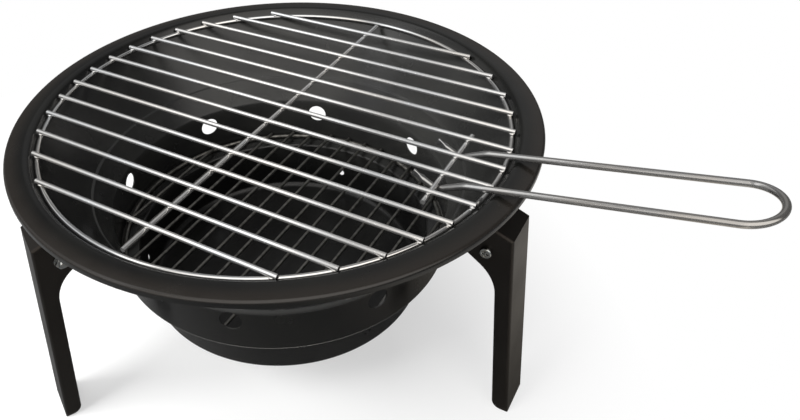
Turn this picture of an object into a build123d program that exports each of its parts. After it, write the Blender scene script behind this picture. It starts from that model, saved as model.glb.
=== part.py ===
from build123d import *
import math
import os

# Tabletop charcoal grill. Millimetres, +Z up.
# The origin is on the floor, on the bowl's axis. The handle runs along +X and leg 1 stands under it.
# Depths are counted down from the rim's edge.

rim_height = 177.0
rim_radius = 170.0

# fire bowl, as the inside of its sheet, from the rim down
bowl_sheet = 1.0
rim_width = 14.0
rim_lip_depth = 3.5
rim_edge_height = 0.6
rim_edge_bend = 2.0
crest_height = 2.0
crest_bend = 6.0
slope_width = 30.2
seam_depth = 43.2
seam_width = 1.6
seam_drop = 0.8
seam_bend = 1.2
shoulder_width = 10.8
shoulder_height = 18.3
shoulder_bend = 5.0
wall_height = 33.5
ledge_width = 12.5
ledge_fall = 1.0
ledge_bend = 2.0
pan_height = 38.0
pan_taper = 5.0
pan_bend = 5.0

# air holes in the straight wall, and three small ones in the lower pan
air_hole_diameter = 14.0
air_hole_drop = 10.9
air_hole_count = 8
air_hole_start = 17.7
pan_hole_diameter = 5.0
pan_hole_drop = 21.7
pan_hole_count = 3
pan_hole_start = -25.5

# legs: folded sheet channels, open towards the bowl, placed from their pivots
leg_count = 3
leg_sheet = 1.2
leg_width = 29.0
leg_bend = 2.0
leg_top_reach = 14.9
leg_top_rise = 12.5
foot_splay = 11.7
flange_depth = 11.0
foot_corner_radius = 6.5
flap_rise_angle = 22.0
flap_gap = 0.4
gusset_tip_reach = 19.5
gusset_tip_drop = 1.0
gusset_tip_bend = 3.0
gusset_fall_angle = 35.0
gusset_arc_radius = 27.0

# each leg turns on one screw through a bracket that is welded to the bowl above the seam
pivot_offset = 26.8
pivot_drop = 0.3
pivot_clearance = 0.05
side_gap = 0.4
bracket_sheet = 1.6
bracket_height = 15.0
bracket_seam_gap = 1.7
ear_radius = 7.5
screw_diameter = 4.0
screw_head_diameter = 7.6
screw_head_height = 2.4
screw_head_bend = 1.1
recess_width = 1.1
recess_length = 4.4
recess_depth = 1.3
face_gap = 0.3
washer_diameter = 9.0
washer_clearance = 0.15
washer_height = 0.8
nut_across_flats = 7.0
nut_height = 3.2
screw_stick_out = 1.4

# cooking grid: parallel bars welded on a ring and two rods
weld_sink = 0.25
grid_ring_inset = 5.6
grid_ring_wire = 3.0
grid_rest_gap = 0.3
grid_bar_wire = 3.0
grid_bar_count = 14
grid_bar_overhang = 1.9
grid_edge_gap = 23.65
cross_rod_gap = 2.5
handle_rod_inset = 34.6
handle_rod_bar_count = 4
handle_rod_overhang = 7.5

# handle: a long loop of wire that hooks the short rod from below and lies over the rim
handle_wire = 4.0
handle_half_width = 17.5
handle_slope = 10.8
handle_rim_gap = 0.2
handle_elbow_inset = 18.0
handle_elbow_bend = 14.0
handle_reach = 117.0
handle_hook_clearance = 0.06
hook_tip_offset = 12.2
hook_tip_rise = 2.4
hook_blade_thickness = 1.8
hook_blade_length = 5.0
hook_blade_root = 3.4
hook_blade_width = 4.4

# charcoal grate on the ledge
grate_wall_gap = 1.5
grate_rest_gap = 0.3
grate_ring_wire = 3.0
grate_bar_wire = 2.4
grate_bar_count = 14
grate_bar_overhang = 1.3
grate_edge_gap = 13.2


def unit(vector):
    return vector * (1.0 / vector.length)


# two bends closer than this run into each other with no straight piece between them
shortest_straight = 1e-6


def side_face(corners):
    """A face in the XZ plane from corners (x, depth below the rim, bend radius)."""
    points = [Vector(x, 0, rim_height - depth) for x, depth, bend in corners]
    bends = [bend for x, depth, bend in corners]
    count = len(points)
    starts, ends, arcs = [], [], []
    for i in range(count):
        back = unit(points[i - 1] - points[i])
        ahead = unit(points[(i + 1) % count] - points[i])
        half_angle = math.radians(back.get_angle(ahead)) / 2
        reach = bends[i] / math.tan(half_angle)
        starts.append(points[i] + back * reach)
        ends.append(points[i] + ahead * reach)
        if bends[i] > 0:
            inward = unit(back + ahead)
            middle = points[i] + inward * (bends[i] / math.sin(half_angle) - bends[i])
            arcs.append(Edge.make_three_point_arc(starts[i], middle, ends[i]))
        else:
            arcs.append(None)
    edges = []
    for i in range(count):
        if arcs[i]:
            edges.append(arcs[i])
        following = (i + 1) % count
        if (starts[following] - ends[i]).length > shortest_straight:
            edges.append(Edge.make_line(ends[i], starts[following]))
    return Face(Wire(edges))


def sheet_outside(inside, thickness):
    """The other side of a bent sheet, from the corners (x, depth, bend) of its inner side."""
    points = [Vector(x, -depth) for x, depth, bend in inside]
    directions = [unit(b - a) for a, b in zip(points, points[1:])]
    normals = [Vector(d.Y, -d.X) for d in directions]
    outside = []
    for i, (x, depth, bend) in enumerate(inside):
        before = normals[max(i - 1, 0)]
        after = normals[min(i, len(normals) - 1)]
        shift = (before + after) * (thickness / (1 + before.dot(after)))
        moved = points[i] + shift
        turn = before.X * after.Y - before.Y * after.X
        outer_bend = bend + thickness if turn > 0 else max(bend - thickness, 0)
        outside.append((moved.X, -moved.Y, outer_bend if bend > 0 else 0))
    return outside


def spun(face, arc=360):
    return revolve(face, Axis.Z, arc)


def plate(face, near, far):
    """The solid between y = near and y = far with this outline in the XZ plane."""
    return extrude(Pos(0, near, 0) * face, amount=far - near, dir=(0, 1, 0))


def rod(start, end, diameter):
    start, end = Vector(start), Vector(end)
    place = Plane(origin=start, z_dir=end - start)
    return extrude(place * Circle(diameter / 2), amount=(end - start).length)


def ring(radius, wire, height):
    section = Plane.XZ * Pos(radius, height) * Circle(wire / 2)
    return revolve(section, Axis.Z)


def tangent_point(outer, centre, radius, side):
    """Where a line from an outer point touches a circle in the XZ plane."""
    away = outer - centre
    turn = side * math.degrees(math.acos(radius / away.length))
    return centre + unit(away.rotate(Axis.Y, turn)) * radius


# fire bowl
crest_radius = rim_radius - rim_width
seam_radius = crest_radius - slope_width
wall_radius = seam_radius - shoulder_width
shoulder_depth = seam_depth + shoulder_height
ledge_depth = shoulder_depth + wall_height
ledge_radius = wall_radius - ledge_width
pan_depth = ledge_depth + pan_height
pan_radius = ledge_radius - pan_taper
seam = (seam_radius, seam_depth, seam_bend)
crest = (crest_radius, -crest_height, crest_bend)
bowl_inside = [
    (0, pan_depth, 0),
    (pan_radius, pan_depth, pan_bend),
    (ledge_radius, ledge_depth + ledge_fall, ledge_bend),
    (wall_radius, ledge_depth, ledge_bend),
    (wall_radius, shoulder_depth, shoulder_bend),
    (seam_radius - seam_width, seam_depth + seam_drop, seam_bend),
    seam,
    crest,
    (rim_radius, -rim_edge_height, rim_edge_bend),
    (rim_radius, rim_lip_depth, 0),
]
bowl_outside = sheet_outside(bowl_inside, bowl_sheet)


def hole_drills(depth, diameter, count, start_angle):
    """Rods from the bowl's axis outwards, evenly spread, that cut one row of holes."""
    height = rim_height - depth
    drill = rod((0, 0, height), (rim_radius, 0, height), diameter)
    return [Rot(0, 0, start_angle + 360.0 / count * i) * drill for i in range(count)]


def fire_bowl():
    bowl = spun(side_face(bowl_inside + bowl_outside[::-1]))
    drills = hole_drills(shoulder_depth + air_hole_drop, air_hole_diameter, air_hole_count, air_hole_start)
    drills += hole_drills(ledge_depth + pan_hole_drop, pan_hole_diameter, pan_hole_count, pan_hole_start)
    for drill in drills:
        bowl -= drill
    return bowl


def bowl_core():
    """The bowl's outside with everything within it, to trim what is welded on."""
    axis_top = (0, -crest_height, 0)
    below_rim = bowl_outside[:bowl_inside.index(crest) + 1]
    return spun(side_face(below_rim + [axis_top]))


# the upper wall's slope, which the brackets sit on and the legs' flaps lean on
slope_low = Vector(*bowl_outside[bowl_inside.index(seam)][:2])
slope_high = Vector(*bowl_outside[bowl_inside.index(crest)][:2])
slope_per_depth = (slope_high.X - slope_low.X) / (slope_low.Y - slope_high.Y)


def slope_radius(depth, gap=0.0):
    """Radius of the upper wall's outside at this depth, with a gap square to the wall."""
    square = math.hypot(1, slope_per_depth)
    return slope_low.X + (slope_low.Y - depth) * slope_per_depth + gap * square


# legs
pivot_depth = seam_depth + pivot_drop
pivot_height = rim_height - pivot_depth
pivot_radius = slope_radius(pivot_depth) + pivot_offset
leg_top_radius = pivot_radius + leg_top_reach
leg_top_depth = pivot_depth - leg_top_rise
foot_radius = leg_top_radius + foot_splay
gusset_tip_radius = pivot_radius - gusset_tip_reach
gusset_tip_depth = pivot_depth + gusset_tip_drop
leg_lean = (foot_radius - leg_top_radius) / (rim_height - leg_top_depth)
flap_tangent = math.tan(math.radians(flap_rise_angle))
flap_end_depth = (leg_top_depth - (leg_top_radius - slope_radius(0, flap_gap)) * flap_tangent) / (
    1 + slope_per_depth * flap_tangent)
flap_end = (slope_radius(flap_end_depth, flap_gap), flap_end_depth, 0)
flange_side = flange_depth * math.hypot(1, leg_lean)
gusset_tangent = math.tan(math.radians(gusset_fall_angle))
gusset_corner_radius = (leg_top_radius - flange_side + leg_lean * (gusset_tip_depth - leg_top_depth
                        - gusset_tangent * gusset_tip_radius)) / (1 - leg_lean * gusset_tangent)
gusset_corner_depth = gusset_tip_depth + gusset_tangent * (gusset_corner_radius - gusset_tip_radius)
leg_outline = [
    (leg_top_radius, leg_top_depth, 0),
    (foot_radius, rim_height, 0),
    (foot_radius - flange_side, rim_height, foot_corner_radius),
    (gusset_corner_radius, gusset_corner_depth, gusset_arc_radius),
    (gusset_tip_radius, gusset_tip_depth, gusset_tip_bend),
    flap_end,
]


# a fold's edge runs along the sheet's line to within this angle
fold_angle_limit = 0.5


def pivot_rod(near, far, diameter):
    """A rod on leg 1's pivot line, from y = near to y = far."""
    return rod((pivot_radius, near, pivot_height), (pivot_radius, far, pivot_height), diameter)


def is_fold(edge, line):
    angle = (edge.position_at(1) - edge.position_at(0)).get_angle(line)
    return min(angle, 180 - angle) < fold_angle_limit


def leg():
    half = leg_width / 2
    body = plate(side_face(leg_outline), -half, half)
    web_line = Vector(foot_radius - leg_top_radius, 0, leg_top_depth - rim_height)
    flap_line = Vector(flap_end[0] - leg_top_radius, 0, leg_top_depth - flap_end[1])
    folds = [edge for edge in body.edges() if is_fold(edge, web_line) or is_fold(edge, flap_line)]
    body = fillet(folds, leg_bend)
    # the hollow behind the web and under the flap, open towards the bowl and the floor
    web_side = leg_sheet * math.hypot(1, leg_lean)
    flap_side = leg_sheet * math.hypot(1, flap_tangent)
    corner_depth = leg_top_depth + (flap_side - web_side * flap_tangent) / (1 + leg_lean * flap_tangent)
    corner_radius = leg_top_radius + leg_lean * (corner_depth - leg_top_depth) - web_side
    below = rim_height + leg_width
    hollow = [
        (corner_radius, corner_depth, 0),
        (corner_radius + leg_lean * (below - corner_depth), below, 0),
        (wall_radius, below, 0),
        (wall_radius, corner_depth - (corner_radius - wall_radius) * flap_tangent, 0),
    ]
    body -= plate(side_face(hollow), leg_sheet - half, half - leg_sheet)
    pivot_hole = screw_diameter + 2 * pivot_clearance
    body -= pivot_rod(-leg_width, leg_width, pivot_hole)
    return body


# leg brackets and their fasteners
bracket_bottom_depth = seam_depth - bracket_seam_gap
bracket_top_depth = bracket_bottom_depth - bracket_height


def leg_bracket():
    ear_outside = leg_width / 2 - leg_sheet - side_gap
    ear_inside = ear_outside - bracket_sheet
    pivot = Vector(pivot_radius, 0, pivot_height)
    # each ear spreads from its round end to the sloping wall
    root_high = Vector(slope_radius(bracket_top_depth), 0, rim_height - bracket_top_depth)
    root_low = Vector(slope_radius(bracket_bottom_depth), 0, rim_height - bracket_bottom_depth)
    edge_high = tangent_point(root_high, pivot, ear_radius, 1)
    edge_low = tangent_point(root_low, pivot, ear_radius, -1)
    tip = pivot + unit(edge_high - pivot + edge_low - pivot) * ear_radius
    inset = Vector(-2 * bracket_sheet, 0, 0)
    ear_face = Face(Wire([
        Edge.make_line(root_low + inset, root_low),
        Edge.make_line(root_low, edge_low),
        Edge.make_three_point_arc(edge_low, tip, edge_high),
        Edge.make_line(edge_high, root_high),
        Edge.make_line(root_high, root_high + inset),
        Edge.make_line(root_high + inset, root_low + inset),
    ]))
    bracket = plate(ear_face, ear_inside, ear_outside) + plate(ear_face, -ear_outside, -ear_inside)
    # the back plate follows the wall between the ears
    back = side_face([
        (slope_radius(bracket_top_depth), bracket_top_depth, 0),
        (slope_radius(bracket_top_depth, bracket_sheet), bracket_top_depth, 0),
        (slope_radius(bracket_bottom_depth, bracket_sheet), bracket_bottom_depth, 0),
        (slope_radius(bracket_bottom_depth), bracket_bottom_depth, 0),
    ])
    back_half_angle = math.degrees(math.asin(ear_outside / slope_radius(bracket_bottom_depth)))
    back_plate = Rot(0, 0, -back_half_angle) * spun(back, 2 * back_half_angle)
    room = Pos(slope_radius(0), 0, rim_height) * Box(rim_radius, 2 * ear_outside, rim_height)
    bracket += back_plate & room
    bracket -= bowl_core()
    bracket -= pivot_rod(-leg_width, leg_width, screw_diameter)
    return bracket


head_face = leg_width / 2 + face_gap
nut_face = leg_width / 2 + face_gap + washer_height


def leg_screw():
    head_top = head_face + screw_head_height
    head = pivot_rod(-head_face, -head_top, screw_head_diameter)
    head = fillet(head.edges().group_by(Axis.Y)[0], screw_head_bend)
    for turn in (0, 90):
        slot = Box(recess_length, 2 * recess_depth, recess_width)
        head -= Pos(pivot_radius, -head_top, pivot_height) * Rot(0, turn, 0) * slot
    return head + pivot_rod(-head_face, nut_face + nut_height + screw_stick_out, screw_diameter)


def leg_washer():
    washer = pivot_rod(head_face, nut_face, washer_diameter)
    return washer - pivot_rod(head_face, nut_face, screw_diameter + 2 * washer_clearance)


def leg_nut():
    seat = Plane(origin=(pivot_radius, nut_face, pivot_height), z_dir=(0, 1, 0))
    hexagon = RegularPolygon(nut_across_flats / 2, 6, major_radius=False)
    nut = extrude(seat * hexagon, amount=nut_height)
    return nut - pivot_rod(nut_face, nut_face + nut_height, screw_diameter)


# cooking grid: the ring settles where the sloping wall is as wide as it is
grid_ring_radius = crest_radius - grid_ring_inset
wall_slope = slope_width / (crest_height + seam_depth)
ring_offset = (grid_ring_wire / 2 + grid_rest_gap) * math.hypot(1, wall_slope)
grid_ring_depth = (crest_radius - ring_offset - grid_ring_radius) / wall_slope - crest_height
grid_ring_height = rim_height - grid_ring_depth
grid_bar_height = grid_ring_height + (grid_ring_wire + grid_bar_wire) / 2 - weld_sink
grid_bar_pitch = 2 * (grid_ring_radius - grid_edge_gap) / (grid_bar_count - 1)
handle_rod_offset = crest_radius - handle_rod_inset


def centred_places(count, pitch):
    return [pitch * (i - (count - 1) / 2) for i in range(count)]


def half_chord(radius, offset):
    return math.sqrt(radius ** 2 - offset ** 2)


def grid_bar(offset):
    half = half_chord(grid_ring_radius + grid_bar_overhang, offset)
    return rod((-half, offset, grid_bar_height), (half, offset, grid_bar_height), grid_bar_wire)


def grid_cross_rod():
    half = grid_ring_radius - grid_ring_wire / 2 - cross_rod_gap
    return rod((0, -half, grid_ring_height), (0, half, grid_ring_height), grid_ring_wire)


def grid_handle_rod():
    half = grid_bar_pitch * (handle_rod_bar_count - 1) / 2 + handle_rod_overhang
    start = (handle_rod_offset, -half, grid_ring_height)
    return rod(start, (handle_rod_offset, half, grid_ring_height), grid_ring_wire)


def handle():
    # one side of the loop in the XZ plane: hook under the short rod, elbow, long straight
    rod_centre = Vector(handle_rod_offset, 0, grid_ring_height)
    hook_bend = (grid_ring_wire + handle_wire) / 2 + handle_hook_clearance
    tip = rod_centre + Vector(-hook_tip_offset, 0, hook_tip_rise)
    slope = math.radians(handle_slope)
    handle_lift = handle_rim_gap + handle_wire / 2 / math.cos(slope)
    over_rim = Vector(crest_radius, 0, rim_height + crest_height + handle_lift)
    ahead = Vector(math.cos(slope), 0, math.sin(slope))
    elbow = over_rim - ahead * (handle_elbow_inset / ahead.X)
    loop_start = over_rim + ahead * ((rim_width + handle_reach) / ahead.X - handle_half_width)
    inner_touch = tangent_point(tip, rod_centre, hook_bend, -1)
    outer_touch = tangent_point(elbow, rod_centre, hook_bend, 1)
    under = rod_centre + unit(inner_touch + outer_touch - rod_centre * 2) * hook_bend
    back = unit(outer_touch - elbow)
    half_angle = math.radians(back.get_angle(ahead)) / 2
    reach = handle_elbow_bend / math.tan(half_angle)
    inward = unit(back + ahead)
    elbow_middle = elbow + inward * (handle_elbow_bend / math.sin(half_angle) - handle_elbow_bend)
    elbow_in, elbow_out = elbow + back * reach, elbow + ahead * reach

    def side(y):
        move = Vector(0, y, 0)
        return [
            Edge.make_line(tip + move, inner_touch + move),
            Edge.make_three_point_arc(inner_touch + move, under + move, outer_touch + move),
            Edge.make_line(outer_touch + move, elbow_in + move),
            Edge.make_three_point_arc(elbow_in + move, elbow_middle + move, elbow_out + move),
            Edge.make_line(elbow_out + move, loop_start + move),
        ]

    far = Vector(0, handle_half_width, 0)
    loop_end = loop_start + ahead * handle_half_width
    loop = Edge.make_three_point_arc(loop_start - far, loop_end, loop_start + far)
    path = Wire(side(-handle_half_width) + [loop] + side(handle_half_width))
    section = Plane(origin=tip - far, z_dir=inner_touch - tip) * Circle(handle_wire / 2)
    wire = sweep(section, path=path)
    # each hook's end is pinched flat and spreads a little
    up = unit(tip - inner_touch)
    across = Vector(-up.Z, 0, up.X)
    root, end = tip - up * handle_wire / 2, tip + up * (hook_blade_length - handle_wire / 2)
    blade_face = Face(Wire.make_polygon([
        root - across * (hook_blade_root / 2),
        root + across * (hook_blade_root / 2),
        end + across * (hook_blade_width / 2),
        end - across * (hook_blade_width / 2),
    ]))
    for y in (-handle_half_width, handle_half_width):
        wire += plate(blade_face, y - hook_blade_thickness / 2, y + hook_blade_thickness / 2)
    return wire


# charcoal grate: its ring lies on the ledge
grate_ring_radius = wall_radius - grate_wall_gap - grate_ring_wire / 2
ledge_middle_depth = ledge_depth + ledge_fall * (wall_radius - grate_ring_radius) / ledge_width
grate_ring_height = rim_height - ledge_middle_depth + grate_ring_wire / 2 + grate_rest_gap
grate_bar_height = grate_ring_height + (grate_ring_wire + grate_bar_wire) / 2 - weld_sink
grate_bar_pitch = 2 * (grate_ring_radius - grate_edge_gap) / (grate_bar_count - 1)


def grate_bar(offset):
    half = half_chord(grate_ring_radius + grate_bar_overhang, offset)
    return rod((offset, -half, grate_bar_height), (offset, half, grate_bar_height), grate_bar_wire)


nodes = {"fire_bowl": fire_bowl()}
for number in range(1, leg_count + 1):
    turn = Rot(0, 0, 360.0 / leg_count * (number - 1))
    nodes[f"leg_{number}"] = turn * leg()
    nodes[f"leg_bracket_{number}"] = turn * leg_bracket()
    nodes[f"leg_screw_{number}"] = turn * leg_screw()
    nodes[f"leg_washer_{number}"] = turn * leg_washer()
    nodes[f"leg_nut_{number}"] = turn * leg_nut()
nodes["grid_ring"] = ring(grid_ring_radius, grid_ring_wire, grid_ring_height)
nodes["grid_cross_rod"] = grid_cross_rod()
nodes["grid_handle_rod"] = grid_handle_rod()
for number, offset in enumerate(centred_places(grid_bar_count, grid_bar_pitch), 1):
    nodes[f"grid_bar_{number:02d}"] = grid_bar(offset)
nodes["handle"] = handle()
nodes["grate_ring"] = ring(grate_ring_radius, grate_ring_wire, grate_ring_height)
for number, offset in enumerate(centred_places(grate_bar_count, grate_bar_pitch), 1):
    nodes[f"grate_bar_{number:02d}"] = grate_bar(offset)

os.makedirs("parts", exist_ok=True)
for name, shape in nodes.items():
    export_step(shape, f"parts/{name}.step")
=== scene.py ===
import bmesh
import bpy
import math
from mathutils import Matrix, Vector, noise


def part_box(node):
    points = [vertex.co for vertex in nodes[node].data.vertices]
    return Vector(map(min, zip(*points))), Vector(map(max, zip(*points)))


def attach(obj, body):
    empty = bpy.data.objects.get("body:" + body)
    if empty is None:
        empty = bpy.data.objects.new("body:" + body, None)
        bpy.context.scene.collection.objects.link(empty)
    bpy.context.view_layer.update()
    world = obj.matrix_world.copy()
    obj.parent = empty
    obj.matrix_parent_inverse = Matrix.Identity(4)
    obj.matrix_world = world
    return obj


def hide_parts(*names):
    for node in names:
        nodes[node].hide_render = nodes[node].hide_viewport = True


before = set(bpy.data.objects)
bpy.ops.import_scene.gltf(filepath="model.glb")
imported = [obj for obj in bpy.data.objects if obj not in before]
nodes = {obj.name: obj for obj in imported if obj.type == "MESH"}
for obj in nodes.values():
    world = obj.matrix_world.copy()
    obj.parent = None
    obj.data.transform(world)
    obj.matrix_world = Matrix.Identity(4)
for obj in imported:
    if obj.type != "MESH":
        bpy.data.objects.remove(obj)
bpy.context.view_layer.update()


# Fire bowl
# One deep-drawn steel pressing: a flat rim with its edge turned down, a sloping upper wall with a rolled
# seam, a straight wall with air holes, a ledge and a round pan. It is dipped in black enamel and fired.
mm = 0.001
sheet = 1.0
# the sheet's inner side from the pan's middle to the rim's turned-down edge: radius, height, bend radius
inner_corners = [
    (0.0, 44.0, 0.0), (97.5, 44.0, 5.0), (102.5, 81.0, 2.0), (115.0, 82.0, 2.0), (115.0, 115.5, 5.0),
    (124.2, 133.0, 1.2), (125.8, 133.8, 1.2), (156.0, 179.0, 6.0), (170.0, 177.6, 2.0), (170.0, 173.5, 0.0)]
bend_steps, spin_steps = 8, 192
air_hole_radius, air_hole_height = 7.0, 104.6
air_hole_angles = [17.7 + 45 * i for i in range(8)]
pan_hole_radius, pan_hole_height = 2.5, 60.3
pan_hole_angles = [-25.5 + 120 * i for i in range(3)]
punch_sides, punch_depth, punch_middle = 48, 40 * mm, 110 * mm


def linear(code):
    """An sRGB hex colour as linear red, green, blue and alpha."""
    channels = [int(code[i:i + 2], 16) / 255 for i in (1, 3, 5)]
    return [c / 12.92 if c <= 0.04045 else ((c + 0.055) / 1.055) ** 2.4 for c in channels] + [1.0]


def add_node(tree, kind, sockets=(), **settings):
    """Adds a shader node, makes its settings, and fills its sockets with values or other nodes' outputs."""
    node = tree.nodes.new("ShaderNode" + kind)
    for name, value in settings.items():
        setattr(node, name, value)
    for name, value in dict(sockets).items():
        if isinstance(value, bpy.types.NodeSocket):
            tree.links.new(value, node.inputs[name])
        else:
            node.inputs[name].default_value = value
    return node


def new_material(name):
    """An empty node material and its tree."""
    material = bpy.data.materials.new(name)
    material.use_nodes = True
    material.node_tree.nodes.clear()
    return material, material.node_tree


def dress(piece, material):
    """Gives a piece one material all over."""
    piece.data.materials.clear()
    piece.data.materials.append(material)


# Fired enamel is glass: a deep black with a soft gloss, a little browner where it runs thin at the rim's
# edge. The drawn sheet under it is not quite true, so reflections waver, and the glaze has orange peel.
enamel_deep, enamel_thin, enamel_edge = "#0b0b0b", "#11110f", "#1d1a17"
# the inside's own colours are a little lighter than the outside's, as painted light
inside_painted_deep, inside_painted_thin = "#0e0e0e", "#141413"
# painted light lifts the inside up the wall, and painted shade darkens the slope: height, fade and share
wall_from, wall_fade, wall_painted_light = 60 * mm, 50 * mm, 5.2
slope_from, slope_fade, slope_painted_shade = 128 * mm, 12 * mm, 0.6
inside_radius, inside_fade = 155 * mm, 4 * mm
glaze_drift = 45 * mm
glaze_cloud = 14 * mm
peel_pitch, peel_height = 2.4 * mm, 0.006
waver_pitch, waver_height = 38 * mm, 0.07
edge_from, edge_to, edge_turn, edge_fade = 158 * mm, 168 * mm, 176 * mm, 1 * mm
# painted highlights along outer bends that would catch the light: their radius, height, half width and
# colour
painted_bend_highlights = [
    (115.3 * mm, 81.9 * mm, 1.1 * mm, "#6b6965"),
    (116.2 * mm, 114.5 * mm, 2.4 * mm, "#373736"),
    (170.6 * mm, 177.4 * mm, 0.5 * mm, "#211f1d"),
]

black_enamel, tree = new_material("enamel_fired_on_drawn_steel")
coords = add_node(tree, "TexCoord")
place = coords.outputs["Object"]
drift = add_node(tree, "TexNoise", {"Vector": place, "Scale": 1 / glaze_drift, "Detail": 3.0})
outside = add_node(tree, "ValToRGB", {"Fac": drift.outputs["Fac"]})
inside = add_node(tree, "ValToRGB", {"Fac": drift.outputs["Fac"]})
for ramp, deep, thin in ((outside, enamel_deep, enamel_thin), (inside, inside_painted_deep, inside_painted_thin)):
    ramp.color_ramp.elements[0].position = 0.3
    ramp.color_ramp.elements[0].color = linear(deep)
    ramp.color_ramp.elements[1].position = 0.7
    ramp.color_ramp.elements[1].color = linear(thin)
flat = add_node(tree, "VectorMath", {0: place, 1: (1, 1, 0)}, operation="MULTIPLY")
radius = add_node(tree, "VectorMath", {0: flat.outputs["Vector"]}, operation="LENGTH")
# a face of the inside looks up or towards the axis, and lies within the crest
outwards = add_node(tree, "VectorMath", {0: flat.outputs["Vector"]}, operation="NORMALIZE")
leaning = add_node(tree, "VectorMath", {0: outwards.outputs["Vector"], 1: (-1, -1, 0)}, operation="MULTIPLY")
inwards = add_node(tree, "VectorMath", {0: leaning.outputs["Vector"], 1: (0, 0, 0.6)}, operation="ADD")
facing_in = add_node(tree, "VectorMath", {
    0: coords.outputs["Normal"], 1: inwards.outputs["Vector"]}, operation="DOT_PRODUCT")
turned_in = add_node(tree, "MapRange", {
    "Value": facing_in.outputs["Value"], "From Min": 0.1, "From Max": 0.5})
within = add_node(tree, "MapRange", {
    "Value": radius.outputs["Value"], "From Min": inside_radius, "From Max": inside_radius - inside_fade})
is_inside = add_node(tree, "Math", {
    0: turned_in.outputs["Result"], 1: within.outputs["Result"]}, operation="MULTIPLY")
up = add_node(tree, "SeparateXYZ", {"Vector": place})
# painted light and shade: the inside's colour is scaled lighter up the wall and darker on the slope
painted_light_up_wall = add_node(tree, "MapRange", {
    "Value": up.outputs["Z"], "From Min": wall_from, "From Max": wall_from + wall_fade, "To Min": 1.0,
    "To Max": wall_painted_light})
painted_shade_on_slope = add_node(tree, "MapRange", {
    "Value": up.outputs["Z"], "From Min": slope_from, "From Max": slope_from + slope_fade, "To Min": 1.0,
    "To Max": slope_painted_shade})
painted_light_by_height = add_node(tree, "Math", {
    0: painted_light_up_wall.outputs["Result"], 1: painted_shade_on_slope.outputs["Result"]}, operation="MULTIPLY")
inside_painted_light = add_node(tree, "VectorMath", {
    0: inside.outputs["Color"], "Scale": painted_light_by_height.outputs[0]}, operation="SCALE")
depth = add_node(tree, "Mix", {
    "Factor": is_inside.outputs[0], "A": outside.outputs["Color"], "B": inside_painted_light.outputs["Vector"]},
    data_type="RGBA")
near_edge = add_node(tree, "MapRange", {
    "Value": radius.outputs["Value"], "From Min": edge_from, "From Max": edge_to},
    interpolation_type="SMOOTHSTEP")
on_top = add_node(tree, "MapRange", {
    "Value": up.outputs["Z"], "From Min": edge_turn, "From Max": edge_turn + edge_fade})
edge = add_node(tree, "Math", {
    0: near_edge.outputs["Result"], 1: on_top.outputs["Result"]}, operation="MULTIPLY")
rim_tone = add_node(tree, "Mix", {
    "Factor": edge.outputs[0], "A": depth.outputs["Result"], "B": linear(enamel_edge)}, data_type="RGBA")
# the painted highlight lines run round the ledge, the wall's top and the rim
colour = rim_tone
for bend_radius, bend_height, line_half, highlight_colour in painted_bend_highlights:
    off_side = add_node(tree, "Math", {0: radius.outputs["Value"], 1: bend_radius}, operation="SUBTRACT")
    off_up = add_node(tree, "Math", {0: up.outputs["Z"], 1: bend_height}, operation="SUBTRACT")
    away = add_node(tree, "CombineXYZ", {"X": off_side.outputs[0], "Y": off_up.outputs[0]})
    off_line = add_node(tree, "VectorMath", {0: away.outputs["Vector"]}, operation="LENGTH")
    on_highlight = add_node(tree, "MapRange", {
        "Value": off_line.outputs["Value"], "From Min": 1.6 * line_half, "From Max": 0.4 * line_half})
    colour = add_node(tree, "Mix", {
        "Factor": on_highlight.outputs["Result"], "A": colour.outputs["Result"], "B": linear(highlight_colour)},
        data_type="RGBA")
cloud = add_node(tree, "TexNoise", {"Vector": place, "Scale": 1 / glaze_cloud, "Detail": 4.0})
gloss = add_node(tree, "MapRange", {
    "Value": cloud.outputs["Fac"], "From Min": 0.3, "From Max": 0.7, "To Min": 0.2, "To Max": 0.28})
peel = add_node(tree, "TexNoise", {"Vector": place, "Scale": 1 / peel_pitch, "Detail": 1.0})
waver = add_node(tree, "TexNoise", {"Vector": place, "Scale": 1 / waver_pitch, "Detail": 1.0})
peel_part = add_node(tree, "Math", {0: peel.outputs["Fac"], 1: peel_height}, operation="MULTIPLY")
height = add_node(tree, "Math", {
    0: waver.outputs["Fac"], 1: waver_height, 2: peel_part.outputs[0]}, operation="MULTIPLY_ADD")
bump = add_node(tree, "Bump", {"Height": height.outputs[0], "Strength": 1.0, "Distance": mm})
shader = add_node(tree, "BsdfPrincipled", {
    "Base Color": colour.outputs["Result"], "Roughness": gloss.outputs["Result"], "IOR": 1.5,
    "Specular IOR Level": 0.4, "Normal": bump.outputs["Normal"]})
add_node(tree, "OutputMaterial", {"Surface": shader.outputs["BSDF"]})

# each bend is walked as a row of points with their directions, which also give the outer side of the sheet
inner_line = [(Vector(inner_corners[0][:2]), Vector((1, 0)))]
for before, corner, after in zip(inner_corners, inner_corners[1:], inner_corners[2:]):
    middle, bend = Vector(corner[:2]), corner[2]
    arriving = (middle - Vector(before[:2])).normalized()
    leaving = (Vector(after[:2]) - middle).normalized()
    swing = arriving.angle_signed(leaving)
    reach = bend * math.tan(abs(swing) / 2)
    side = Vector((arriving.y, -arriving.x)) * math.copysign(bend, swing)
    centre = middle - arriving * reach + side
    for step in range(bend_steps + 1):
        turn = Matrix.Rotation(-swing * step / bend_steps, 2)
        inner_line.append((centre - turn @ side, turn @ arriving))
inner_line.append((Vector(inner_corners[-1][:2]), Vector((0, -1))))
outer_line = [point + Vector((heading.y, -heading.x)) * sheet for point, heading in inner_line]
outline = [point for point, heading in inner_line] + outer_line[::-1]


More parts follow.
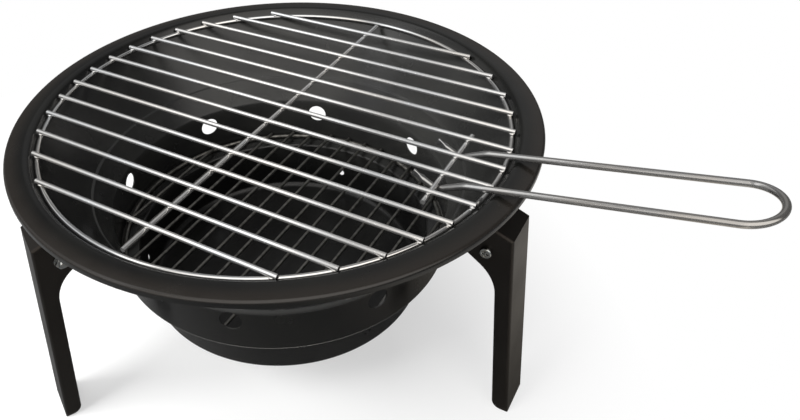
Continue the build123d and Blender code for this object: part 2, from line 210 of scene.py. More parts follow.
def hole_punch(radius, height, angle):
    """A punch from inside the bowl outwards, to cut one round hole."""
    shape = bmesh.new()
    bmesh.ops.create_cone(
        shape, cap_ends=True, segments=punch_sides, radius1=radius * mm, radius2=radius * mm,
        depth=punch_depth)
    lie = Matrix.Translation((punch_middle, 0, height * mm)) @ Matrix.Rotation(math.pi / 2, 4, "Y")
    shape.transform(Matrix.Rotation(math.radians(angle), 4, "Z") @ lie)
    return shape


def make_piece(shape, name, body, material):
    """Turns a shape into an object that moves with a body of the frame."""
    for face in shape.faces:
        face.smooth = True
    mesh = bpy.data.meshes.new(name)
    shape.to_mesh(mesh)
    shape.free()
    piece = bpy.data.objects.new(name, mesh)
    bpy.context.collection.objects.link(piece)
    dress(piece, material)
    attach(piece, body)
    return piece


def add_rings(shape, rings):
    """Joins rings of points, all with the same count, into a skin."""
    rows = [[shape.verts.new(point) for point in ring] for ring in rings]
    for low_row, high_row in zip(rows, rows[1:]):
        for i in range(len(low_row)):
            j = (i + 1) % len(low_row)
            shape.faces.new((low_row[i], low_row[j], high_row[j], high_row[i]))
    return rows


shape = bmesh.new()
spins = [math.tau * i / spin_steps for i in range(spin_steps)]
rows = add_rings(shape, [
    [(point.x * math.cos(spin) * mm, point.x * math.sin(spin) * mm, point.y * mm) for spin in spins]
    for point in outline[1:-1]])
for row, middle in ((rows[0], outline[0]), (rows[-1], outline[-1])):
    hub = shape.verts.new((0, 0, middle.y * mm))
    for i in range(spin_steps):
        shape.faces.new((hub, row[i], row[(i + 1) % spin_steps]))
bmesh.ops.recalc_face_normals(shape, faces=shape.faces)
bowl = make_piece(shape, "fire_bowl_spun", "bowl", black_enamel)
punches = bmesh.new()
for radius, height, angles in ((air_hole_radius, air_hole_height, air_hole_angles),
                               (pan_hole_radius, pan_hole_height, pan_hole_angles)):
    for angle in angles:
        punch = hole_punch(radius, height, angle)
        mesh = bpy.data.meshes.new("punch")
        punch.to_mesh(mesh)
        punches.from_mesh(mesh)
        bpy.data.meshes.remove(mesh)
        punch.free()
mesh = bpy.data.meshes.new("punches")
punches.to_mesh(mesh)
punches.free()
punch_set = bpy.data.objects.new("punches", mesh)
bpy.context.collection.objects.link(punch_set)
cut = bowl.modifiers.new("punched_holes", "BOOLEAN")
cut.object = punch_set
cut.solver = "EXACT"
cut_bowl = bowl.evaluated_get(bpy.context.evaluated_depsgraph_get())
punched = bpy.data.meshes.new_from_object(cut_bowl)
bowl.modifiers.remove(cut)
bowl.data = punched
bpy.data.objects.remove(punch_set)
bowl.data.set_sharp_from_angle(angle=math.radians(40))
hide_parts("fire_bowl")


# Leg brackets
# Three folded steel ears that carry the legs' screws. Each back plate is held to the sloping wall by a
# run of weld along its upper and its lower edge, and the whole is enamelled with the bowl.
leg_turns = [math.radians(120 * i) for i in range(3)]
# height and wall radius of the upper and the lower run
weld_runs = [(150.9 * mm, 138.5 * mm), (135.1 * mm, 127.9 * mm)]
weld_half_width = 9.5 * mm
weld_ripple = 1.45 * mm
weld_ripple_half = (1.0 * mm, 1.25 * mm, 0.95 * mm)
lump_share, lump_scale, seed_step = 0.25, 1.7, 7.3


def add_bead(shape, centre, half, turn, seed):
    """One lump of weld metal: a ball that froze a little uneven, with these half sizes, turned about Z."""
    ball = bmesh.ops.create_icosphere(shape, subdivisions=2, radius=1.0)["verts"]
    spin = Matrix.Rotation(turn, 3, "Z")
    for vertex in ball:
        lump = 1.0 + lump_share * noise.noise(vertex.co * lump_scale + Vector((seed_step * seed, 0, 0)))
        vertex.co = Vector(centre) + spin @ Vector([lump * c * h for c, h in zip(vertex.co, half)])


shape = bmesh.new()
ripple_count = round(2 * weld_half_width / weld_ripple) + 1
for turn in leg_turns:
    for weld_height, wall_radius in weld_runs:
        for i in range(ripple_count):
            swing = (i * weld_ripple - weld_half_width) / wall_radius + turn
            centre = (wall_radius * math.cos(swing), wall_radius * math.sin(swing), weld_height)
            add_bead(shape, centre, weld_ripple_half, swing, len(shape.verts))
make_piece(shape, "leg_bracket_welds", "bowl", black_enamel)
for number in (1, 2, 3):
    dress(nodes[f"leg_bracket_{number}"], black_enamel)


# Legs
# Folded sheet-steel channels, open towards the bowl, with a flap folded in at the top. Each turns on one
# screw. They are blanked, folded and sprayed with black stove paint, a shade browner than the enamel.
# Stove paint dries satin, with a fine spray texture. It is rubbed a little grey where the foot stands.
paint_dark, paint_light, paint_scuff, paint_shine = "#0b0a09", "#100f0e", "#2c2926", "#fff0e2"
paint_drift = 30 * mm
spray_pitch, spray_height = 1.1 * mm, 0.005
scuff_top = 5 * mm
scuff_size = 3 * mm

leg_paint, tree = new_material("stove_paint_sprayed_on_folded_steel")
place = add_node(tree, "TexCoord").outputs["Object"]
drift = add_node(tree, "TexNoise", {"Vector": place, "Scale": 1 / paint_drift, "Detail": 4.0})
tone = add_node(tree, "ValToRGB", {"Fac": drift.outputs["Fac"]})
tone.color_ramp.elements[0].position = 0.3
tone.color_ramp.elements[0].color = linear(paint_dark)
tone.color_ramp.elements[1].position = 0.7
tone.color_ramp.elements[1].color = linear(paint_light)
up = add_node(tree, "SeparateXYZ", {"Vector": place})
low = add_node(tree, "MapRange", {
    "Value": up.outputs["Z"], "From Min": scuff_top, "From Max": 0.0}, interpolation_type="SMOOTHSTEP")
rub = add_node(tree, "TexNoise", {"Vector": place, "Scale": 1 / scuff_size, "Detail": 5.0})
scuff = add_node(tree, "Math", {0: low.outputs["Result"], 1: rub.outputs["Fac"]}, operation="MULTIPLY")
colour = add_node(tree, "Mix", {
    "Factor": scuff.outputs[0], "A": tone.outputs["Color"], "B": linear(paint_scuff)}, data_type="RGBA")
gloss = add_node(tree, "MapRange", {
    "Value": drift.outputs["Fac"], "From Min": 0.3, "From Max": 0.7, "To Min": 0.34, "To Max": 0.42})
spray = add_node(tree, "TexNoise", {"Vector": place, "Scale": 1 / spray_pitch, "Detail": 2.0})
height = add_node(tree, "Math", {0: spray.outputs["Fac"], 1: spray_height}, operation="MULTIPLY")
bump = add_node(tree, "Bump", {"Height": height.outputs[0], "Strength": 1.0, "Distance": mm})
shader = add_node(tree, "BsdfPrincipled", {
    "Base Color": colour.outputs["Result"], "Roughness": gloss.outputs["Result"], "IOR": 1.5,
    "Specular IOR Level": 0.3, "Specular Tint": linear(paint_shine), "Normal": bump.outputs["Normal"]})
add_node(tree, "OutputMaterial", {"Surface": shader.outputs["BSDF"]})
for number in (1, 2, 3):
    leg = nodes[f"leg_{number}"]
    dress(leg, leg_paint)
    # the blanked edges are tumbled a little before painting
    rounding = leg.modifiers.new("tumbled_edges", "BEVEL")
    rounding.width = 0.3 * mm
    rounding.segments = 2
    rounding.limit_method = "ANGLE"
    rounding.angle_limit = math.radians(50)


# Leg screws, washers and nuts
# Zinc-plated M4 hardware: a pan head with a cross recess on one side of the leg, and a washer and a
# hexagon nut on the other. The thread ends just past the nut.
# Zinc plate is a pale, slightly blue metal with a fine crystal bloom, and soft highlights.
zinc_blue, zinc_grey = "#9fa4a8", "#b0ada4"
bloom_size = 1.2 * mm

zinc_plate, tree = new_material("zinc_plated_cold_headed_steel")
place = add_node(tree, "TexCoord").outputs["Object"]
bloom = add_node(tree, "TexNoise", {"Vector": place, "Scale": 1 / bloom_size, "Detail": 4.0})
colour = add_node(tree, "ValToRGB", {"Fac": bloom.outputs["Fac"]})
colour.color_ramp.elements[0].position = 0.35
colour.color_ramp.elements[0].color = linear(zinc_blue)
colour.color_ramp.elements[1].position = 0.65
colour.color_ramp.elements[1].color = linear(zinc_grey)
gloss = add_node(tree, "MapRange", {
    "Value": bloom.outputs["Fac"], "From Min": 0.3, "From Max": 0.7, "To Min": 0.13, "To Max": 0.26})
shader = add_node(tree, "BsdfPrincipled", {
    "Base Color": colour.outputs["Color"], "Roughness": gloss.outputs["Result"], "Metallic": 1.0})
add_node(tree, "OutputMaterial", {"Surface": shader.outputs["BSDF"]})

pivot_radius, pivot_height = 153.602 * mm, 133.5 * mm
head_face, head_height, head_radius, head_bend = -14.8 * mm, 2.4 * mm, 3.8 * mm, 1.1 * mm
head_sides, head_steps = 96, 30
recess_reach, recess_half_width, recess_depth = 2.3 * mm, 0.5 * mm, 1.3 * mm
recess_wall, recess_run_out = 0.25 * mm, 0.5 * mm
shank_radius, thread_root, thread_pitch = 1.98 * mm, 1.65 * mm, 0.7 * mm
thread_start, thread_end, screw_end, point_chamfer = 8.0 * mm, 19.7 * mm, 20.2 * mm, 0.3 * mm
thread_sides, thread_steps = 24, 6
nut_seat, nut_height, nut_flat_radius, nut_hole_radius = 15.6 * mm, 3.2 * mm, 3.5 * mm, 2.0 * mm
nut_sides, nut_land, nut_chamfer_angle = 72, 0.1 * mm, math.radians(30)
countersink_width, countersink_depth = 0.3 * mm, 0.4 * mm


def on_pivot(turn, along, radius, angle):
    """A point round a leg's pivot line: how far along it, its distance from it, and its angle round it."""
    point = Vector((pivot_radius + radius * math.cos(angle), along, pivot_height + radius * math.sin(angle)))
    return Matrix.Rotation(turn, 3, "Z") @ point


def recess_at(radius, angle):
    """Depth of the cross recess at a point of the head: four tapering wings, deepest in the middle."""
    x, y = abs(radius * math.cos(angle)), abs(radius * math.sin(angle))
    reach, aside = max(x, y), min(x, y)
    into_wing = min(max((recess_half_width - aside) / recess_wall, 0), 1)
    before_end = min(max((recess_reach - reach) / recess_run_out, 0), 1)
    return recess_depth * into_wing * before_end * (1 - 0.5 * reach / recess_reach)


def head_rise(radius):
    """Height of the pan head's top: nearly flat, then a round shoulder."""
    past = max(radius - (head_radius - head_bend), 0)
    return head_height - head_bend + math.sqrt(max(head_bend ** 2 - past ** 2, 0))


for number, turn in enumerate(leg_turns, 1):
    shape = bmesh.new()
    around = [math.tau * i / head_sides for i in range(head_sides)]
    rings = []
    for step in range(1, head_steps + 1):
        radius = head_radius * math.sin(math.radians(90 / head_steps * step))
        rings.append([on_pivot(turn, head_face - head_rise(radius) + recess_at(radius, angle), radius, angle)
                      for angle in around])
    rings.append([on_pivot(turn, head_face, head_radius, angle) for angle in around])
    rings.append([on_pivot(turn, head_face, shank_radius, angle) for angle in around])
    rings.append([on_pivot(turn, thread_start, shank_radius, angle) for angle in around])
    rows = add_rings(shape, rings)
    shape.faces.new(reversed(rows[0]))
    around = [math.tau * i / thread_sides for i in range(thread_sides)]
    rings = []
    for step in range(round((thread_end - thread_start) / (thread_pitch / thread_steps)) + 1):
        along = thread_start + step * thread_pitch / thread_steps
        ring = []
        for angle in around:
            turns = along / thread_pitch - angle / math.tau
            flank = abs(2 * (turns % 1) - 1)
            ring.append(on_pivot(turn, along, thread_root + (shank_radius - thread_root) * flank, angle))
        rings.append(ring)
    rings.append([on_pivot(turn, screw_end, thread_root - point_chamfer, angle) for angle in around])
    rows = add_rings(shape, rings)
    shape.faces.new(rows[-1])
    bmesh.ops.recalc_face_normals(shape, faces=shape.faces)
    screw = make_piece(shape, f"leg_screw_{number}_threaded", "bowl", zinc_plate)
    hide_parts(f"leg_screw_{number}")

    # the nut's corners are chamfered round, so each flat ends in a shallow arc
    shape = bmesh.new()
    around = [math.tau * i / nut_sides for i in range(nut_sides)]
    corner = [nut_flat_radius / math.cos((angle % (math.tau / 6)) - math.tau / 12) for angle in around]
    fall = [(radius - nut_flat_radius) * math.tan(nut_chamfer_angle) for radius in corner]
    chamfer_radius = nut_flat_radius - nut_land
    nut_top = nut_seat + nut_height
    rings = [
        [on_pivot(turn, nut_seat, nut_hole_radius, angle) for angle in around],
        [on_pivot(turn, nut_seat, chamfer_radius, angle) for angle in around],
        [on_pivot(turn, nut_seat + f + nut_land, r, a) for f, r, a in zip(fall, corner, around)],
        [on_pivot(turn, nut_top - f - nut_land, r, a) for f, r, a in zip(fall, corner, around)],
        [on_pivot(turn, nut_top, chamfer_radius, angle) for angle in around],
        [on_pivot(turn, nut_top, nut_hole_radius + countersink_width, angle) for angle in around],
        [on_pivot(turn, nut_top - countersink_depth, nut_hole_radius, angle) for angle in around],
    ]
    rows = add_rings(shape, rings)
    for i in range(nut_sides):
        j = (i + 1) % nut_sides
        shape.faces.new((rows[-1][i], rows[-1][j], rows[0][j], rows[0][i]))
    bmesh.ops.recalc_face_normals(shape, faces=shape.faces)
    nut = make_piece(shape, f"leg_nut_{number}_chamfered", "bowl", zinc_plate)
    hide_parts(f"leg_nut_{number}")
    for piece in (screw, nut):
        piece.data.set_sharp_from_angle(angle=math.radians(35))

    washer = nodes[f"leg_washer_{number}"]
    dress(washer, zinc_plate)
    rounding = washer.modifiers.new("stamped_edges", "BEVEL")
    rounding.width = 0.15 * mm
    rounding.segments = 2
    rounding.limit_method = "ANGLE"


# Charcoal grate
# A ring of drawn steel wire on the bowl's ledge, with fourteen thinner bars spot-welded across it.
# It is thinly plated and dull, so only the top of each wire catches the light.
wire_dark, wire_pale = "#5c5b58", "#86847f"
plate_mottle = 4 * mm

grate_wire, tree = new_material("dull_plated_drawn_wire")
place = add_node(tree, "TexCoord").outputs["Object"]
mottle = add_node(tree, "TexNoise", {"Vector": place, "Scale": 1 / plate_mottle, "Detail": 4.0})
colour = add_node(tree, "ValToRGB", {"Fac": mottle.outputs["Fac"]})
colour.color_ramp.elements[0].position = 0.35
colour.color_ramp.elements[0].color = linear(wire_dark)
colour.color_ramp.elements[1].position = 0.65
colour.color_ramp.elements[1].color = linear(wire_pale)
gloss = add_node(tree, "MapRange", {
    "Value": mottle.outputs["Fac"], "From Min": 0.3, "From Max": 0.7, "To Min": 0.44, "To Max": 0.3})
shader = add_node(tree, "BsdfPrincipled", {
    "Base Color": colour.outputs["Color"], "Roughness": gloss.outputs["Result"], "Metallic": 0.88})
add_node(tree, "OutputMaterial", {"Surface": shader.outputs["BSDF"]})
for name, node in nodes.items():
    if name.startswith("grate_"):
        dress(node, grate_wire)

grate_bar_count = 14
grate_ring_radius = 112 * mm
grate_weld_height = 84.95 * mm
grate_weld_half = (1.7 * mm, 1.9 * mm, 0.75 * mm)
shape = bmesh.new()
for number in range(1, grate_bar_count + 1):
    low_corner, high_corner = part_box(f"grate_bar_{number:02d}")
    x = (low_corner.x + high_corner.x) / 2
    y = math.sqrt(grate_ring_radius ** 2 - x ** 2)
    for side in (-1, 1):
        add_bead(shape, (x, side * y, grate_weld_height), grate_weld_half, 0, number * side)
make_piece(shape, "grate_welds", "charcoal_grate", grate_wire)


# Cooking grid
# Fourteen bars of drawn wire are spot-welded on a ring and two rods, with a little metal squeezed out at
# each crossing, and the whole is then chrome-plated. The bars are sheared off just past the ring.
# Bright chrome is an almost neutral mirror with a faint bloom, which scatters some of the light. The wire
# drawn under it leaves faint lines along its length. The bars' sheared ends stay rough and dull, and their
# near black is also painted shade. The lines are drawn coarser than real ones, so that they show.
chrome_tints, cut_dull_and_painted_shade = ("#d0d1d2", "#d4d1cd"), "#242322"
chrome_drift = 55 * mm
line_pitch, line_length, bent_line_length = 0.35 * mm, 30 * mm, 8 * mm
bar_lines = (line_length, line_pitch, line_pitch)
rod_lines = (line_pitch, line_length, line_pitch)
bent_lines = (bent_line_length, bent_line_length, line_pitch)
bar_mirror, bent_mirror, cut_roughness = 0.85, 0.97, 0.28
bar_axis, no_axis = (1, 0, 0), (0, 0, 0)
grid_bar_count = 14


def chrome_on_wire(name, tints, stretch, end_axis, mirror):
    """Chrome plate on wire: two tints, size of its fine lines on X, Y and Z, axis of its cut ends, shine."""
    material, tree = new_material(name)
    coords = add_node(tree, "TexCoord")
    drift = add_node(tree, "TexNoise", {
        "Vector": coords.outputs["Object"], "Scale": 1 / chrome_drift, "Detail": 2.0})
    tint = add_node(tree, "ValToRGB", {"Fac": drift.outputs["Fac"]})
    tint.color_ramp.elements[0].position = 0.35
    tint.color_ramp.elements[0].color = linear(tints[0])
    tint.color_ramp.elements[1].position = 0.65
    tint.color_ramp.elements[1].color = linear(tints[1])
    lines_place = add_node(tree, "VectorMath", {
        0: coords.outputs["Object"], 1: [1 / size for size in stretch]}, operation="MULTIPLY")
    lines = add_node(tree, "TexNoise", {
        "Vector": lines_place.outputs["Vector"], "Scale": 1.0, "Detail": 2.0})
    facing = add_node(tree, "VectorMath", {
        0: coords.outputs["Normal"], 1: end_axis}, operation="DOT_PRODUCT")
    turned = add_node(tree, "Math", {0: facing.outputs["Value"]}, operation="ABSOLUTE")
    cut = add_node(tree, "MapRange", {"Value": turned.outputs[0], "From Min": 0.9, "From Max": 0.97})
    # the cut ends are dull bare steel, and their near black colour is also painted shade
    colour = add_node(tree, "Mix", {
        "Factor": cut.outputs["Result"], "A": tint.outputs["Color"], "B": linear(cut_dull_and_painted_shade)},
        data_type="RGBA")
    polish = add_node(tree, "MapRange", {
        "Value": lines.outputs["Fac"], "From Min": 0.3, "From Max": 0.7, "To Min": 0.08, "To Max": 0.17})
    gloss = add_node(tree, "Mix", {
        "Factor": cut.outputs["Result"], "A": polish.outputs["Result"], "B": cut_roughness})
    bump = add_node(tree, "Bump", {"Height": lines.outputs["Fac"], "Strength": 0.12, "Distance": 0.02 * mm})
    shader = add_node(tree, "BsdfPrincipled", {
        "Base Color": colour.outputs["Result"], "Roughness": gloss.outputs["Result"],
        "Metallic": mirror, "Normal": bump.outputs["Normal"]})
    add_node(tree, "OutputMaterial", {"Surface": shader.outputs["BSDF"]})
    return material


bar_chrome = chrome_on_wire("chrome_plate_on_drawn_bar", chrome_tints, bar_lines, bar_axis, bar_mirror)
rod_chrome = chrome_on_wire("chrome_plate_on_drawn_rod", chrome_tints, rod_lines, no_axis, bar_mirror)
bent_chrome = chrome_on_wire("chrome_plate_on_bent_ring", chrome_tints, bent_lines, no_axis, bent_mirror)
dress(nodes["grid_ring"], bent_chrome)
straight_wires = {"grid_cross_rod": rod_chrome, "grid_handle_rod": rod_chrome}
straight_wires |= {f"grid_bar_{number:02d}": bar_chrome for number in range(1, grid_bar_count + 1)}
for name, chrome in straight_wires.items():
    dress(nodes[name], chrome)
    rounding = nodes[name].modifiers.new("sheared_ends", "BEVEL")
    rounding.width = 0.4 * mm
    rounding.segments = 3
    rounding.limit_method = "ANGLE"
    rounding.angle_limit = math.radians(60)

grid_ring_radius = 150.4 * mm
grid_weld_height = 175.2 * mm
ring_weld_half, rod_weld_half = (2.1 * mm, 2.0 * mm, 0.85 * mm), (1.4 * mm, 1.6 * mm, 0.7 * mm)
handle_rod_x, handle_rod_half = 121.4 * mm, 36.75 * mm
shape = bmesh.new()
for number in range(1, grid_bar_count + 1):
    low_corner, high_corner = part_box(f"grid_bar_{number:02d}")
    y = (low_corner.y + high_corner.y) / 2
    ring_x = math.sqrt(grid_ring_radius ** 2 - y ** 2)
    crossings = [(-ring_x, ring_weld_half), (0, rod_weld_half), (ring_x, ring_weld_half)]
    if abs(y) < handle_rod_half:
        crossings.append((handle_rod_x, rod_weld_half))
    for x, weld_half in crossings:
        add_bead(shape, (x, y, grid_weld_height), weld_half, 0, number + x / mm)
make_piece(shape, "grid_welds", "cooking_grid", bent_chrome)


# Handle
# One length of 4 mm chromed wire, bent into a long loop. Its two ends hook under the grid's short rod and
# are pinched flat, so that they can't slip out, and the loop leans on the bowl's rim.
wire_radius = 2.0
half_width = 17.5
slope = math.radians(10.8)
rod_centre = Vector((121.4, 173.8586))
hook_bend = 3.56
hook_tip = rod_centre + Vector((-12.2, 2.4))
blade_past_tip = 3.0
over_rim = Vector((156.0, 181.236))
elbow_inset, elbow_bend = 18.0, 14.0
loop_end_x = 287.0
wire_sides, hook_steps, elbow_steps, loop_steps = 24, 10, 8, 32
pinch_squareness = 0.55
ahead = Vector((math.cos(slope), math.sin(slope)))


def touch(outer, side):
    """Where a line from an outer point touches the hook's bend round the rod, in the XZ plane."""
    away = outer - rod_centre
    turn = -side * math.acos(hook_bend / away.length)
    return rod_centre + (Matrix.Rotation(turn, 2) @ away).normalized() * hook_bend


def bend_points(centre, start, end, count):
    """Points along the shorter arc round a centre, from start to end."""
    first = start - centre
    swing = first.angle_signed(end - centre)
    return [centre + Matrix.Rotation(-swing * i / count, 2) @ first for i in range(count + 1)]


elbow = over_rim - ahead * (elbow_inset / ahead.x)
inner_touch, outer_touch = touch(hook_tip, -1), touch(elbow, 1)
up_blade = (hook_tip - inner_touch).normalized()
blade_end = hook_tip + up_blade * blade_past_tip
back = (outer_touch - elbow).normalized()
half_angle = back.angle(ahead) / 2
elbow_reach = elbow_bend / math.tan(half_angle)
elbow_centre = elbow + (back + ahead).normalized() * (elbow_bend / math.sin(half_angle))
loop_start = over_rim + ahead * ((loop_end_x - over_rim.x) / ahead.x - half_width)

# the pinched end as (distance from its end, half height, half thickness), then the round wire
pinch = [(0.0, 1.9, 0.6), (0.3, 2.2, 0.85), (1.5, 2.1, 0.9), (3.0, 1.9, 0.9), (4.2, 1.8, 1.0),
         (5.2, 1.85, 1.4), (6.2, 1.95, 1.85), (7.2, wire_radius, wire_radius)]
stations = [(blade_end - up_blade * along, high, thick) for along, high, thick in pinch]
run = bend_points(rod_centre, inner_touch, outer_touch, hook_steps)
run += bend_points(
    elbow_centre, elbow + back * elbow_reach, elbow + ahead * elbow_reach, elbow_steps)
run += [loop_start + (over_rim - loop_start) * share for share in (0.75, 0.5, 0.25, 0.0)]
stations += [(point, wire_radius, wire_radius) for point in run]

side_points = [(Vector((point.x, -half_width, point.y)), high, thick) for point, high, thick in stations]
far_points = [
    (Vector((point.x, half_width, point.z)), high, thick) for point, high, thick in reversed(side_points)]
loop_points = []
for i in range(1, loop_steps):
    swing = math.pi * i / loop_steps
    reach = loop_start + ahead * (half_width * math.sin(swing))
    loop_points.append((Vector((reach.x, -half_width * math.cos(swing), reach.y)), wire_radius, wire_radius))
line = side_points + loop_points + far_points

across_loop = Vector((-math.sin(slope), 0, math.cos(slope)))
rings = []
for i, (point, high, thick) in enumerate(line):
    before, after = line[max(i - 1, 0)][0], line[min(i + 1, len(line) - 1)][0]
    tangent = (after - before).normalized()
    aside = tangent.cross(across_loop).normalized()
    above = aside.cross(tangent)
    # a pinched section is nearly a rectangle, and the wire's is round
    squareness = 1.0 if high == thick else pinch_squareness
    ring = []
    for j in range(wire_sides):
        angle = math.tau * j / wire_sides
        rise, run_out = math.cos(angle), math.sin(angle)
        lift = high * math.copysign(abs(rise) ** squareness, rise)
        shift = thick * math.copysign(abs(run_out) ** squareness, run_out)
        ring.append((point + above * lift + aside * shift) * mm)
    rings.append(ring)
shape = bmesh.new()
rows = add_rings(shape, rings)
shape.faces.new(reversed(rows[0]))
shape.faces.new(rows[-1])
bmesh.ops.recalc_face_normals(shape, faces=shape.faces)
# the handle's chrome is tinted darker than the grid's, as painted shade
handle_painted_shade_tints, handle_mirror = ("#9a9b9c", "#9e9b97"), 0.9
handle_chrome = chrome_on_wire(
    "chrome_plate_on_handle_wire", handle_painted_shade_tints, bent_lines, no_axis, handle_mirror)
handle = make_piece(shape, "handle_bent_wire", "handle", handle_chrome)
handle.data.set_sharp_from_angle(angle=math.radians(50))
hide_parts("handle")


# Studio
# A wide sheet of white paper lit by three banks of light: overhead, front left and a small one at the right.
# The room is bright in front and dim low down. The paper glows for the camera, so that it stays white
# round the shadow, and more so far from the grill, where no horizon should show.
floor_size = 30.0
paper_white = "#f7f7f6"
paper_glow, paper_glow_in_metal = 0.5, 0.9
glow_middle, glow_from, glow_to = (-0.12, -0.12, 0), 0.24, 0.42
mesh = bpy.data.meshes.new("floor")
half = floor_size / 2
paper_corners = [(-half, -half, 0), (half, -half, 0), (half, half, 0), (-half, half, 0)]
mesh.from_pydata(paper_corners, [], [(0, 1, 2, 3)])
floor = bpy.data.objects.new("floor", mesh)
bpy.context.collection.objects.link(floor)
paper, tree = new_material("white_paper_sweep")
path = add_node(tree, "LightPath")
place = add_node(tree, "TexCoord").outputs["Object"]
# in the metal the paper is pale beside the right leg, and grey further out and towards the set's dark front
shade_axis, shade_from, shade_to = (0.95, 0.3, 0), -0.3, 0.45
shade_stops = {
    -0.25: (0.28, 0.28, 0.28), 0.0: (0.1, 0.1, 0.1), 0.12: (0.05, 0.05, 0.05), 0.2: (0.22, 0.2, 0.17),
    0.27: (0.75, 0.7, 0.62), 0.3: (0.8, 0.76, 0.7), 0.35: (0.35, 0.34, 0.33), 0.42: (0.2, 0.2, 0.2)}
sideways = add_node(tree, "VectorMath", {0: place, 1: shade_axis}, operation="DOT_PRODUCT")
along = add_node(tree, "MapRange", {
    "Value": sideways.outputs["Value"], "From Min": shade_from, "From Max": shade_to})
in_metal = add_node(tree, "ValToRGB", {"Fac": along.outputs["Result"]})
for i, (stop, shade) in enumerate(shade_stops.items()):
    position = (stop - shade_from) / (shade_to - shade_from)
    stops = in_metal.color_ramp.elements
    element = stops[i] if i < 2 else stops.new(position)
    element.position = position
    element.color = (*shade, 1)
colour = add_node(tree, "Mix", {
    "Factor": path.outputs["Is Glossy Ray"], "A": (1, 1, 1, 1), "B": in_metal.outputs["Color"]},
    data_type="RGBA")
# past the shadow the paper burns out to plain white
distance = add_node(tree, "VectorMath", {0: place, 1: glow_middle}, operation="DISTANCE")
burnt = add_node(tree, "MapRange", {
    "Value": distance.outputs["Value"], "From Min": glow_from, "From Max": glow_to, "To Min": paper_glow})
camera_share = add_node(tree, "Math", {
    0: path.outputs["Is Camera Ray"], 1: burnt.outputs["Result"]}, operation="MULTIPLY")
share = add_node(tree, "Math", {
    0: path.outputs["Is Glossy Ray"], 1: paper_glow_in_metal, 2: camera_share.outputs[0]},
    operation="MULTIPLY_ADD")
matte = add_node(tree, "BsdfDiffuse", {"Color": linear(paper_white)})
glow = add_node(tree, "Emission", {"Color": colour.outputs["Result"], "Strength": 1.0})
mixed = add_node(tree, "MixShader", {0: share.outputs[0], 1: matte.outputs[0], 2: glow.outputs[0]})
add_node(tree, "OutputMaterial", {"Surface": mixed.outputs[0]})
dress(floor, paper)

# the room is white to the camera and an even grey as light. In the metal it is dim, with a grey wall behind
# and a bright front above the horizon: a white screen at the left, a dark gap, a warm window at the right
room_light, room_low = (0.235, 0.24, 0.252, 1), 0.14
wall_towards, wall_edge, wall_core, wall_bright = (-0.25, 0.7, 0.67), 0.86, 0.97, 0.25
front_bright, front_none, front_full = 1.8, 0.3, 0.0
above_none, above_full = 0.05, 0.4
front_stops = {
    -0.75: 0.3, -0.63: 0.5, -0.56: 1.0, -0.44: 1.0, -0.39: 0.3, -0.34: 0.28, -0.26: 0.75, 0.1: 1.0}
front_warm_from, warm_green, warm_blue = -0.3, 0.97, 0.93
world = bpy.data.worlds.new("studio")
bpy.context.scene.world = world
world.use_nodes = True
tree = world.node_tree
tree.nodes.clear()
path = add_node(tree, "LightPath")
direction = add_node(tree, "TexCoord").outputs["Generated"]
towards = add_node(tree, "SeparateXYZ", {"Vector": direction})
near = add_node(tree, "VectorMath", {0: direction, 1: wall_towards}, operation="DOT_PRODUCT")
wall = add_node(tree, "MapRange", {
    "Value": near.outputs["Value"], "From Min": wall_edge, "From Max": wall_core,
    "To Min": room_low, "To Max": room_low + wall_bright}, interpolation_type="SMOOTHSTEP")
ahead_of = add_node(tree, "MapRange", {
    "Value": towards.outputs["Y"], "From Min": front_none, "From Max": front_full, "To Max": front_bright},
    interpolation_type="SMOOTHSTEP")
above = add_node(tree, "MapRange", {
    "Value": towards.outputs["Z"], "From Min": above_none, "From Max": above_full},
    interpolation_type="SMOOTHSTEP")
front = add_node(tree, "Math", {
    0: ahead_of.outputs["Result"], 1: above.outputs["Result"]}, operation="MULTIPLY")
across = add_node(tree, "MapRange", {"Value": towards.outputs["X"], "From Min": -1.0, "From Max": 1.0})
screens = add_node(tree, "ValToRGB", {"Fac": across.outputs["Result"]})
for i, (stop, grey) in enumerate(front_stops.items()):
    stops = screens.color_ramp.elements
    position = (stop + 1) / 2
    element = stops[i] if i < 2 else stops.new(position)
    element.position = position
    warm = stop > front_warm_from
    element.color = (grey, warm_green * grey, warm_blue * grey, 1) if warm else (grey, grey, grey, 1)
bright_front = add_node(tree, "VectorMath", {
    0: screens.outputs["Color"], "Scale": front.outputs[0]}, operation="SCALE")
in_metal = add_node(tree, "VectorMath", {
    0: bright_front.outputs["Vector"], 1: wall.outputs["Result"]}, operation="ADD")
lit = add_node(tree, "Mix", {
    "Factor": path.outputs["Is Glossy Ray"], "A": room_light, "B": in_metal.outputs["Vector"]},
    data_type="RGBA")
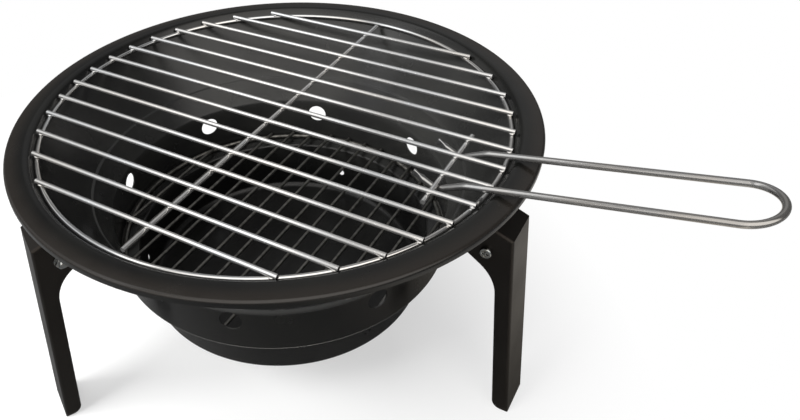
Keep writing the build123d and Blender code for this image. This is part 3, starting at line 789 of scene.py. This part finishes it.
seen = add_node(tree, "Mix", {
    "Factor": path.outputs["Is Camera Ray"], "A": lit.outputs["Result"], "B": (1, 1, 1, 1)},
    data_type="RGBA")
room = add_node(tree, "Background", {"Color": seen.outputs["Result"], "Strength": 1.0})
add_node(tree, "OutputWorld", {"Surface": room.outputs[0]})


def softbox(name, place, size, power, colour):
    """A flat bank of light that faces the grill, hidden from the metal, which shows the room instead."""
    lamp = bpy.data.lights.new(name, "AREA")
    lamp.shape = "RECTANGLE"
    lamp.size, lamp.size_y = size
    lamp.energy = power
    lamp.color = linear(colour)[:3]
    holder = bpy.data.objects.new(name, lamp)
    holder.location = place
    holder.rotation_euler = (-Vector(place)).to_track_quat("-Z", "Y").to_euler()
    holder.visible_glossy = False
    bpy.context.collection.objects.link(holder)


softbox("overhead_bank", (-0.9, -0.2, 2.4), (1.6, 1.6), 34, "#ffffff")
softbox("front_bank", (-1.9, -2.74, 3.0), (2.6, 1.8), 240, "#ffffff")
softbox("window_bank", (1.9, -1.4, 1.5), (1.4, 1.4), 20, "#fffdfa")


# Camera
# It stands where the photograph was taken, in front of the grill and to its right, and looks down on it. The
# picture is a crop of a wider one, so its centre is shifted.
image_width, image_height = 800, 420
focal_pixels = 781.0
sensor = 36.0
centre_pixel = (304, 165)
camera = bpy.data.cameras.new("camera")
camera.sensor_fit = "HORIZONTAL"
camera.sensor_width = sensor
camera.lens = focal_pixels * sensor / image_width
camera.shift_x = (image_width / 2 - centre_pixel[0]) / image_width
camera.shift_y = (centre_pixel[1] - image_height / 2) / image_width
camera.clip_start = 0.01
holder = bpy.data.objects.new("camera", camera)
right = Vector((0.85386, 0.51838, -0.04704))
up = Vector((-0.27165, 0.52088, 0.80925))
back = Vector((0.44400, -0.67821, 0.58557))
turn = Matrix((right, up, back)).transposed().to_4x4()
holder.matrix_world = Matrix.Translation((0.2511, -0.3516, 0.4454)) @ turn
bpy.context.collection.objects.link(holder)
bpy.context.scene.camera = holder
bpy.context.scene.view_settings.view_transform = "Standard"
